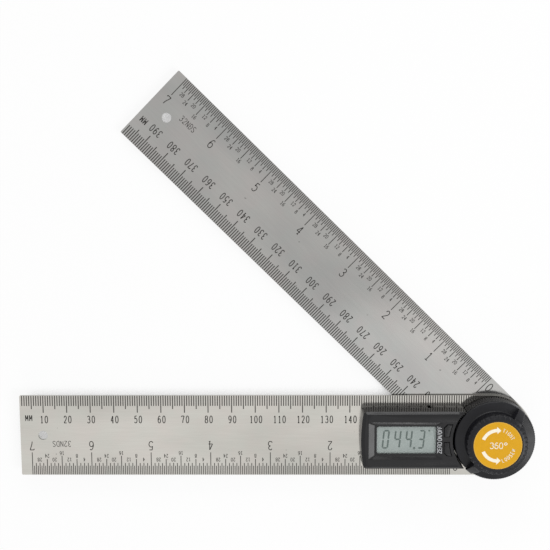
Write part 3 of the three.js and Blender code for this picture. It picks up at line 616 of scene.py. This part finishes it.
def mmWord(places):
    shape = bmesh.new()
    side = places["side"]
    place = (mmScale["wordPlace"] - ruleReach, side * (halfWidth - places["mmWord"]))
    write(shape, "MM", mmScale["word"], place, *mmScale["wordShares"], facing(side))
    return shape


def inchFigures(places):
    large, small, word = bmesh.new(), bmesh.new(), bmesh.new()
    side = -places["side"]
    turn = facing(side)
    for inch in range(scale["inches"] + 1):
        x = -scale["inchZero"] - inch * scale["inch"]
        inset = scale["zeroInset"] if inch == 0 else places["inchFigure"]
        if -x > places["reach"]:
            place = (x + (scale["zeroShift"] if inch == 0 else 0), side * (halfWidth - inset))
            write(large, str(inch), inchScale["figure"], place, *inchScale["shares"], turn)
        if inch == scale["inches"]:
            break
        for part in range(scale["figureParts"], scale["parts"], scale["figureParts"]):
            inset = next(places["small"][step] for step in (16, 8, 4) if part % step == 0)
            place = (x - part / scale["parts"] * scale["inch"], side * (halfWidth - inset))
            write(small, str(part), inchScale["small"], place, *inchScale["smallShares"], turn)
    place = (lastInch + places["inchWordPlace"], side * (halfWidth - places["inchWord"]))
    write(word, "32NDS", inchScale["word"], place, *inchScale["wordShares"], turn)
    return large, small, word


def ruleScales(name, body, places, matrix):
    mmCount = int(round((ruleReach - places["hidden"]) / mm))
    inchCount = scale["inches"] * scale["parts"] + 1
    side, ink = places["side"], finish["scaleInk"]
    large, small, word = inchFigures(places)
    pieces = {
        "mm_ticks": tickMesh(name, mmTicks, places["mmLengths"], (mmCount, 1), mm - ruleReach, mm, side,
                             scale["mmLine"]),
        "inch_ticks": tickMesh(name, inchTicks, places["inchLengths"], (inchCount, 0), lastInch,
                               scale["inch"] / scale["parts"], -side, scale["inchLine"]),
        "mm_figures": engraved(name, mmFigures(places), mmScale["line"], ink),
        "inch_figures": engraved(name, large, inchScale["line"], ink),
        "small_figures": engraved(name, small, inchScale["smallLine"], ink, 2),
        "mm_word": engraved(name, mmWord(places), mmScale["wordLine"], ink, 3),
        "inch_word": engraved(name, word, inchScale["wordLine"], ink, 3),
    }
    for part, mesh in pieces.items():
        mesh.name = f"{name}_{part}"
        mesh.transform(matrix)
        dress(f"{name}_{part}", mesh, body, ink)


def makeRules():
    for name in ("fixed", "moving"):
        mesh = softened(f"{name}_rule", scale["bladeEdge"])
        steel = finish[f"{name}Steel"]
        dress(f"{name}_rule_blade", mesh, f"{name}_arm", steel, [f"{name}_rule"])
    onFixed = Matrix.Translation((0, 0, deck))
    onMoving = Matrix.Translation((0, 0, movingDeck)) @ Matrix.Rotation(restTurn, 4, "Z")
    ruleScales("fixed", "fixed_arm", fixedScale, onFixed)
    ruleScales("moving", "moving_arm", movingScale, onMoving)


makeRules()
print("rules done")


# Knob: knurled skirt, fluted boss and two finger wings, hollow underneath. Heights are above the fixed rule.
knob = {
    "steps": 648, "smoothAngle": 32,
    "knurls": 108, "knurlDepth": 0.3 * mm, "knurlEnd": 0.6,  # shallower at both ends
    "flutes": 36, "fluteDepth": 0.3 * mm, "wallFlute": 0.15, "fluteShare": 0.5,
    "skirt": 16.9 * mm, "skirtLow": 0.6 * mm, "shoulder": 8.3 * mm, "skirtBevel": 0.7 * mm,
    "skirtEdge": (0.15 * mm, 0.2 * mm),  # inwards and upwards
    "boss": 12.6 * mm, "bossFoot": 8.95 * mm, "bossTop": 15.2 * mm,
    "footRound": 0.8 * mm, "footArc": (262, 180), "rimRound": 0.3 * mm, "rimArc": (0, 68),
    "coneInner": 10.8 * mm, "coneDrop": 0.6 * mm, "coneShares": (0.3, 0.65, 1),  # from the rim to the label
    "labelRadius": 10.1 * mm, "labelFloor": 14.8 * mm, "labelEdge": 0.1 * mm,
    "skirtInner": 16.1 * mm, "underShoulder": 7.2 * mm, "bossInner": 10.85 * mm, "ceiling": 13.6 * mm,
    "socketOuter": 6.7 * mm, "socketInner": 5.1 * mm, "socketLow": 6.3 * mm, "socketTop": 12.4 * mm,
    "wingAngle": 50, "wingStart": 11.4 * mm, "wingEnd": 17.05 * mm, "wingRoot": 4.4 * mm,
    "wingTip": 2.8 * mm, "wingCrest": 14.75 * mm, "wingFoot": 9.8 * mm, "wingRound": 0.55 * mm,
    "wingSunk": 0.5 * mm, "wingCorner": 0.8,  # depth in the shoulder, and most of a half width that is round
    "wingBend": ((1, 0.25), (2, 1.2)),  # past the boss and below the crest, in rounds
    "wingNose": ((1.6, 1.9), (0.7, 0.6), (0.15, -0.5), (0, -1.5)),  # before the end and above the foot
}


def knobRows():  # (radius, height, knurl share, flute share), up the outside and then down the inside
    k = SimpleNamespace(**knob)
    inset, rise = k.skirtEdge
    centre = (k.skirt - k.skirtBevel, k.shoulder - k.skirtBevel)
    bevel = arc(centre, k.skirtBevel, 0, 90, 6)
    rows = [(k.skirt - inset, k.skirtLow, k.knurlEnd, 0), (k.skirt, k.skirtLow + rise, 1, 0),
            (k.skirt, centre[1] - rise, 1, 0), (*bevel[0], k.knurlEnd, 0)]
    rows += [(radius - k.knurlDepth / 2, height, 0, 0) for radius, height in bevel[1:]]
    foot = k.footRound
    rows += [(*spot, 0, 0) for spot in arc((k.boss + foot, k.bossFoot + foot), foot, *k.footArc, 8)]
    rimLow = k.bossTop - k.coneDrop - k.rimRound
    rows.append((k.boss, rimLow - k.coneDrop, 0, k.wallFlute))
    rim = arc((k.boss - k.rimRound, rimLow), k.rimRound, *k.rimArc, 5)
    rows += [(*spot, 0, 1) for spot in rim]
    radius, height = rim[-1]
    for share in k.coneShares:
        across = radius + share * (k.coneInner - radius)
        rows.append((across, height + share * (k.bossTop - height), 0, 1 - share))
    inside = [(k.labelRadius + k.labelEdge, k.bossTop), (k.labelRadius, k.bossTop - k.labelEdge),
              (k.labelRadius, k.labelFloor), (0, k.labelFloor), (0, k.socketTop),
              (k.socketInner, k.socketTop), (k.socketInner, k.socketLow), (k.socketOuter, k.socketLow),
              (k.socketOuter, k.ceiling), (k.bossInner, k.ceiling), (k.bossInner, k.underShoulder),
              (k.skirtInner, k.underShoulder), (k.skirtInner, k.skirtLow)]
    return rows + [(*spot, 0, 0) for spot in inside]


def knobRadius(row, angle):
    radius, _, knurlShare, fluteShare = row
    knurl = 0.5 - 0.5 * math.cos(angle * knob["knurls"])
    phase = (angle * knob["flutes"] / (2 * math.pi)) % 1
    across = (phase - (1 - knob["fluteShare"])) / knob["fluteShare"]
    flute = math.sin(math.pi * across) if across > 0 else 0
    return radius - knurlShare * knob["knurlDepth"] * knurl - fluteShare * knob["fluteDepth"] * flute


def wingShape(turn):  # cross sections from inside the boss outwards, joined to one closed body
    k = SimpleNamespace(**knob)
    shape = bmesh.new()
    bend, crest, foot, start, end = k.wingRound, k.wingCrest, k.wingFoot, k.wingStart, k.wingEnd
    top = [(start, crest), (k.boss, crest)]
    top += [(k.boss + out * bend, crest - down * bend) for out, down in k.wingBend]
    top += [(end - back * bend, foot + up * bend) for back, up in k.wingNose]
    floor = k.shoulder - k.wingSunk
    sections = []
    for x, z in top:
        share = (x - start) / (end - start)
        half = (k.wingRoot * (1 - share) + k.wingTip * share) / 2
        corner = min(bend, half * k.wingCorner)
        side = [(half, floor)] + arc((half - corner, z - corner), corner, 0, 90, 4)
        side += arc((corner - half, z - corner), corner, 90, 180, 4) + [(-half, floor)]
        sections.append([shape.verts.new((x, y, height)) for y, height in side])
    for first, second in zip(sections, sections[1:]):
        for i in range(len(first)):
            j = (i + 1) % len(first)
            shape.faces.new((first[i], first[j], second[j], second[i]))
    shape.faces.new(sections[0])
    shape.faces.new(sections[-1])
    bmesh.ops.recalc_face_normals(shape, faces=shape.faces)
    shape.transform(Matrix.Rotation(math.radians(k.wingAngle + turn), 4, "Z"))
    return shape


def makeKnob():
    body = linked("knob_body", plain("knob_body", revolved(knobRows(), knob["steps"], knobRadius)))
    wings = [linked("wing", plain("wing", wingShape(turn))) for turn in (0, 180)]
    for wing in wings:
        union = body.modifiers.new("wing", "BOOLEAN")
        union.operation = "UNION"
        union.solver = "MANIFOLD"
        union.object = wing
    mesh = evaluated(body)
    for wing in wings:
        bpy.data.objects.remove(wing)
    smooth(mesh, knob["smoothAngle"])
    mesh.transform(Matrix.Translation((0, 0, deck)))
    dress("knob_moulding", mesh, "lock_knob", finish["knobBlack"], ["knob"])


makeKnob()
print("knob done")


# Label: a disc with two arrows, the words for locking and an angle figure
label = {
    "radius": 10 * mm, "thickness": 0.3 * mm, "edge": 0.06 * mm, "steps": 96, "depth": 0.02 * mm,
    "band": (0.58, 0.72), "head": (0.5, 0.8), "wordPlace": 0.67,  # in shares of the radius
    "tailAngle": 157, "neckAngle": 94, "tipAngle": 79, "words": {"TIGHT": (70, 27), "LOOSEN": (-71, -17)},
    "letter": 1.45 * mm, "line": 0.24 * mm, "shares": (0.5, 0.1),
    "figure": 2.5 * mm, "figureLine": 0.32 * mm, "figureShares": (0.56, 0.2), "figurePlace": (0.3 * mm, 0),
}


def arrowOutline():
    inner, outer = (label["radius"] * share for share in label["band"])
    low, high = (label["radius"] * share for share in label["head"])
    tail, neck, tip = label["tailAngle"], label["neckAngle"], label["tipAngle"]
    head = [(low, neck), ((inner + outer) / 2, tip), (high, neck)]
    outline = arc((0, 0), inner, tail, neck, 10)
    outline += [onCircle(reach, math.radians(angle)) for reach, angle in head]
    return outline + arc((0, 0), outer, neck, tail, 10)


def makeLabel():
    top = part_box("knob_label")[1].z
    low, radius, edge = top - label["thickness"], label["radius"], label["edge"]

    def stick(name, mesh, material, stands=()):
        dress(name, mesh, "lock_knob", material, stands)

    rows = [(0, low), (radius, low), (radius, top - edge), (radius - edge, top), (0, top)]
    disc = plain("label_disc", revolved(rows, label["steps"]))
    stick("label_disc", disc, finish["label"], ["knob_label"])
    shape, words, figures = bmesh.new(), bmesh.new(), bmesh.new()
    arrow = arrowOutline()
    for outline in (arrow, [(x, -y) for x, y in arrow][::-1]):
        plate(shape, outline, top - label["depth"] / 2, top + label["depth"] / 2)
    bmesh.ops.recalc_face_normals(shape, faces=shape.faces)
    stick("label_arrows", plain("label_arrows", shape), finish["creamInk"])
    for word, (first, last) in label["words"].items():
        side = math.copysign(1, first)
        for i, letter in enumerate(word):
            angle = math.radians(first + (last - first) * i / (len(word) - 1))
            place = onCircle(radius * label["wordPlace"], angle)
            write(words, letter, label["letter"], place, *label["shares"], angle - side * math.pi / 2)
    write(figures, "360°", label["figure"], label["figurePlace"], *label["figureShares"])
    for name, drawn, line, steps in (("label_words", words, label["line"], 3),
                                     ("label_figures", figures, label["figureLine"], 4)):
        mesh = engraved(name, drawn, line, finish["creamInk"], steps)
        mesh.transform(Matrix.Translation((0, 0, top)))
        stick(name, mesh, finish["creamInk"])


makeLabel()
print("label done")


# Display: seven-segment figures under the window, and the words beside the buttons
display = {
    "reading": "044.3", "places": (-45.3 * mm, -40.4 * mm, -35.7 * mm, -30.4 * mm), "middle": 0.19 * mm,
    "height": 7.45 * mm, "width": 2.1 * mm, "stroke": 0.72 * mm, "gap": 0.06 * mm, "slant": 0.1,
    "point": (-33.4 * mm, -3.6 * mm), "dot": 0.95 * mm,
    "degreePlace": (-27.2 * mm, 3.9 * mm), "degree": 0.36 * mm, "degreeSides": 12,
    "span": (-0.005 * mm, 0.02 * mm),  # below and above the panel's face
}
segmentsOf = {
    "0": "abcdef", "1": "bc", "2": "abged", "3": "abgcd", "4": "fgbc", "5": "afgcd", "6": "afgedc",
    "7": "abc", "8": "abcdefg", "9": "abcdfg",
}


def segmentOutline(kind):  # one of the seven bars, about the middle of the figure
    height, width, stroke = [display[size] / 2 for size in ("height", "width", "stroke")]
    gap = display["gap"]
    if kind in "agd":
        y = {"a": height, "g": 0, "d": -height}[kind]
        end = width - gap
        return [(-end, y), (stroke - end, y - stroke), (end - stroke, y - stroke), (end, y),
                (end - stroke, y + stroke), (stroke - end, y + stroke)]
    x = width if kind in "bc" else -width
    low, high = (gap, height - gap) if kind in "bf" else (gap - height, -gap)
    return [(x, low), (x + stroke, low + stroke), (x + stroke, high - stroke), (x, high),
            (x - stroke, high - stroke), (x - stroke, low + stroke)]


def makeDisplay():
    low, high = [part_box("display_panel")[1].z + rise for rise in display["span"]]
    shape = bmesh.new()
    for digit, centre in zip(display["reading"].replace(".", ""), display["places"]):
        for kind in segmentsOf[digit]:
            outline = segmentOutline(kind)
            leaning = [(centre + x + y * display["slant"], display["middle"] + y) for x, y in outline]
            plate(shape, leaning, low, high)
    plate(shape, square(*display["point"], display["dot"] / 2), low, high)
    ring = arc(display["degreePlace"], display["degree"], 0, 360, display["degreeSides"])
    plate(shape, ring[:-1], low, high)
    bmesh.ops.recalc_face_normals(shape, faces=shape.faces)
    mesh = plain("display_figures", shape)
    dress("display_figures", mesh, "fixed_arm", finish["segmentInk"])


# Words beside the buttons, on the slope between them and the window, read from the front upwards
words = {
    "height": 1.7 * mm, "line": 0.3 * mm, "middle": -22.95 * mm, "gapShare": 0.13,
    "places": {"ZERO": (-3.1 * mm, 0.62), "ON/OFF": (3.05 * mm, 0.48)},  # place, and a letter's width share
    "slopeEnds": ((-24.1 * mm, 7.5 * mm), (-21.6 * mm, 8.3 * mm)),  # x, and height above the rule
}


def makeWords():
    shape = bmesh.new()
    for word, (place, share) in words["places"].items():
        write(shape, word, words["height"], (0, place), share, words["gapShare"], math.pi / 2)
    mesh = engraved("button_words", shape, words["line"], finish["wordInk"], 3)
    (lowX, low), (highX, high) = words["slopeEnds"]
    tilt = math.atan2(high - low, highX - lowX)
    level = deck + low + (words["middle"] - lowX) * math.tan(tilt)
    mesh.transform(Matrix.Translation((words["middle"], 0, level)) @ Matrix.Rotation(-tilt, 4, "Y"))
    dress("button_words", mesh, "fixed_arm", finish["wordInk"])


makeDisplay()
makeWords()
print("display done")


# The housing's draft and the slope round its top, which the CAD leaves upright.
# Heights are above the fixed rule.
draft = {
    "cornerX": -52.9 * mm, "cornerY": 10.35 * mm, "cornerInside": 1.0 * mm,  # centre of the far corners
    "endX": -53.75 * mm, "bow": 0.8 * mm, "sideInside": 0.55 * mm,  # what lies further out is the outer wall
    "slopeFoot": 7.4 * mm, "edge": 0.3 * mm, "belowEdge": 0.03 * mm,  # the CAD's edge, rounded in rings
    "cuts": (-50.5 * mm, -15.5 * mm),  # long faces end here, so that their shading is even
    "arc": 17.35 * mm, "arcBand": 0.05 * mm, "arcFoot": 0.32 * mm,  # the concave end leans towards the knob
    "side": {"foot": 0.7 * mm, "slopeFoot": 0.42 * mm, "slopeTop": -0.6 * mm},  # outside the CAD's wall
    "end": {"foot": 0.85 * mm, "slopeFoot": 0.45 * mm, "slopeTop": -1.05 * mm},
}
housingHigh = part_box("housing")[1]
housingHalf, housingRise = housingHigh.y, housingHigh.z - deck


def draftAt(height, wall):  # how far a vertex of the wall moves outwards, and its new height
    edge, foot = draft["edge"], draft["slopeFoot"]
    above = height - (housingRise - edge)
    if above < -draft["belowEdge"]:
        share = height / foot
        return wall["foot"] * (1 - share) + wall["slopeFoot"] * share, height
    share = min(max(above / edge, 0), 1)
    inset = edge * (1 - math.sqrt(1 - share ** 2))
    rise = foot * (1 - share) + housingRise * share
    return inset + wall["slopeFoot"] * (1 - share) + wall["slopeTop"] * share, rise


def drafted(vert):
    x, y, height = vert.co.x, abs(vert.co.y), vert.co.z - deck
    reach = math.hypot(x, y)
    if abs(reach - draft["arc"]) < draft["arcBand"]:
        vert.co.xy *= 1 - draft["arcFoot"] * max(1 - height / draft["slopeFoot"], 0) / reach
    if x < draft["cornerX"] and y > draft["cornerY"]:
        out = Vector((x - draft["cornerX"], y - draft["cornerY"]))
        if out.length < draft["cornerInside"]:
            return
        out.normalize()
    elif y > housingHalf - draft["sideInside"]:
        out = Vector((0, 1))
    elif x < draft["endX"] - draft["bow"] * (1 - (y / housingHalf) ** 2):
        out = Vector((-1, 0))
    else:
        return
    sideShift, rise = draftAt(height, draft["side"])
    endShift, rise = draftAt(height, draft["end"])
    shift = sideShift * out.y ** 2 + endShift * out.x ** 2
    side = math.copysign(1, vert.co.y)
    vert.co += Vector((shift * out.x, side * shift * out.y, deck + rise - vert.co.z))


# Pieces that keep the CAD shape, with their edges broken: (name, node, body, slot, material, edge, reshape)
moulded = [
    ("housing_shell", "housing", "fixed_arm", "black_housing", "housingBlack", 0.18 * mm, drafted),
    ("rear_cap_moulding", "rear_cap", "moving_arm", "black_housing", "housingBlack", 0.2 * mm, None),
    ("tray_moulding", "battery_tray", "battery_tray", "black_housing", "housingBlack", 0.12 * mm, drafted),
    ("zero_cap", "zero_button", "zero_button", "button_rubber", "buttonRubber", 0.2 * mm, None),
    ("power_cap", "power_button", "power_button", "button_rubber", "buttonRubber", 0.2 * mm, None),
]
for name, node, body, slot, material, edge, reshape in moulded:
    dress(name, softened(node, edge, reshape), body, finish[material], [node])

# Countersunk screws under the rules and the cap, in the places of the CAD ones
screw = {
    "Head Height": 0.8 * mm, "Head Sides": 32, "Shank Radius": 0.8 * mm, "Shank Sides": 20, "Turn": 0.7,
    "Recess Length": 1.7 * mm, "Recess Width": 0.42 * mm, "Recess Depth": 1.1 * mm,  # half of it in the head
}


def makeScrews(name, start, body):
    nodes = sorted(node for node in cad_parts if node.startswith(start))
    points = bmesh.new()
    for node in nodes:
        low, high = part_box(node)
        points.verts.new(((low.x + high.x) / 2, (low.y + high.y) / 2, low.z))
    mesh = bpy.data.meshes.new(name)
    points.to_mesh(mesh)
    points.free()
    values = {**screw, "Head Radius": (high.x - low.x) / 2, "Shank Length": high.z - low.z,
              "Metal": finish["screwSteel"]}
    mesh = grown(name, screws, values, mesh)
    smooth(mesh)
    dress(name, mesh, body, finish["screwSteel"], nodes)


screws = screwTree()
makeScrews("cap_screws", "cap_screw_", "moving_arm")
makeScrews("housing_screws", "housing_screw_", "fixed_arm")
makeScrews("cover_screws", "cover_screw_", "fixed_arm")

# Pieces that are shown as the CAD made them
kept = {
    "screwSteel": ["hub_screw_", "rotor_screw_", "rotor_hub", "pivot_stud"],
    "springSteel": ["thrust_washer", "wave_washer", "zero_switch", "power_switch"],
    "cellSteel": ["coin_cell"],
    "brass": ["knob_insert", "battery_contact_"],
    "housingBlack": ["encoder_cover"],
    "buttonRubber": ["contact_strip_"],
    "boardGreen": ["rotor_board", "stator_board", "main_board"],
    "nylon": ["friction_washer"],
    "cableAmber": ["flex_cable"],
    "window": ["display_window"],
    "glass": ["display_panel"],
}
for material, starts in kept.items():
    for name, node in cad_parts.items():
        if any(name.startswith(start) for start in starts):
            node.data.materials.clear()
            node.data.materials.append(finish[material])
print("mouldings and inner pieces done")


# Floor, world and lamps
studio = {
    "floor": 12.0, "floorColour": (252, 252, 252), "floorRoughness": 0.8, "world": 0.42, "white": 0.88,
    "shade": 0.3, "shadeReach": 12 * mm, "shadeSamples": 4,
    "shadeFrom": (0.3, 0.45),  # how open the floor is where it is in full shade, and where it is white
    "aim": (-0.09, 0.06, 0),
    "mirrors": ("fixed_rule_blade", "moving_rule_blade"),  # the low lamps would glare in them
    "low": ("from behind", "from behind, above", "from the front"),
    "lamps": {  # place in metres, size along and across, power in watts
        "over the rules": ((-0.09, -0.32, 0.95), (0.9, 0.4), 0.4),
        "from the right": ((0.70, -0.345, 0.88), (0.6, 0.6), 6.0),
        "from behind": ((-0.2, 1.1, 0.48), (1.1, 0.4), 4.6),
        "from behind, above": ((0.06, 0.66, 0.8), (0.3, 0.25), 0.8),
        "from the front": ((-0.25, -1.1, 0.36), (0.5, 0.35), 2.6),
    },
}
pureWhite = (1, 1, 1, 1)


def whitened(tree, kind, shaded, share, end):  # the camera, gloss and glass see a share of white instead
    path = addNode(tree, "ShaderNodeLightPath").outputs
    seen = mathNode(tree, "MAXIMUM", path["Is Camera Ray"], path["Is Glossy Ray"])
    seen = mathNode(tree, "MAXIMUM", seen, path["Is Transmission Ray"])
    white = addNode(tree, kind, {"Color": pureWhite, "Strength": 1.0})
    values = {0: mathNode(tree, "MULTIPLY", seen, share), 1: shaded, 2: white}
    feed(tree, tree.nodes[end], {"Surface": addNode(tree, "ShaderNodeMixShader", values)})


def makeFloor():
    shape = bmesh.new()
    shape.faces.new([shape.verts.new((x, y, 0)) for x, y in square(0, 0, studio["floor"] / 2)])
    floor = linked("floor", plain("floor", shape))
    material, tree, shader, _ = newMaterial("floor")
    feed(tree, shader, {"Base Color": rgb(*studio["floorColour"]), "Roughness": studio["floorRoughness"]})
    opening = addNode(tree, "ShaderNodeAmbientOcclusion", {"Distance": studio["shadeReach"]},
                      samples=studio["shadeSamples"]).outputs["AO"]
    share = ramp(tree, opening, studio["shade"], studio["white"], *studio["shadeFrom"])
    whitened(tree, "ShaderNodeEmission", shader, share, "Material Output")
    floor.data.materials.append(material)


def makeWorld():
    world = bpy.data.worlds.new("studio")
    world.use_nodes = True
    bpy.context.scene.world = world
    lit = world.node_tree.nodes["Background"]
    feed(world.node_tree, lit, {"Color": pureWhite, "Strength": studio["world"]})
    whitened(world.node_tree, "ShaderNodeBackground", lit, 1.0, "World Output")


def makeLamps():
    passedBy = bpy.data.collections.new("passed by")
    for name in studio["mirrors"]:
        passedBy.objects.link(bpy.data.objects[name])
    for member in passedBy.collection_objects:
        member.light_linking.link_state = "EXCLUDE"
    for name, (place, size, power) in studio["lamps"].items():
        data = bpy.data.lights.new(name, "AREA")
        data.shape = "RECTANGLE"
        data.size, data.size_y = size
        data.energy = power
        lamp = linked(name, data)
        lamp.location = place
        if name in studio["low"]:
            lamp.light_linking.receiver_collection = passedBy
        lamp.rotation_euler = (Vector(studio["aim"]) - Vector(place)).to_track_quat("-Z", "Y").to_euler()


makeFloor()
makeWorld()
makeLamps()
bpy.context.scene.view_settings.view_transform = "Standard"
print("studio done")
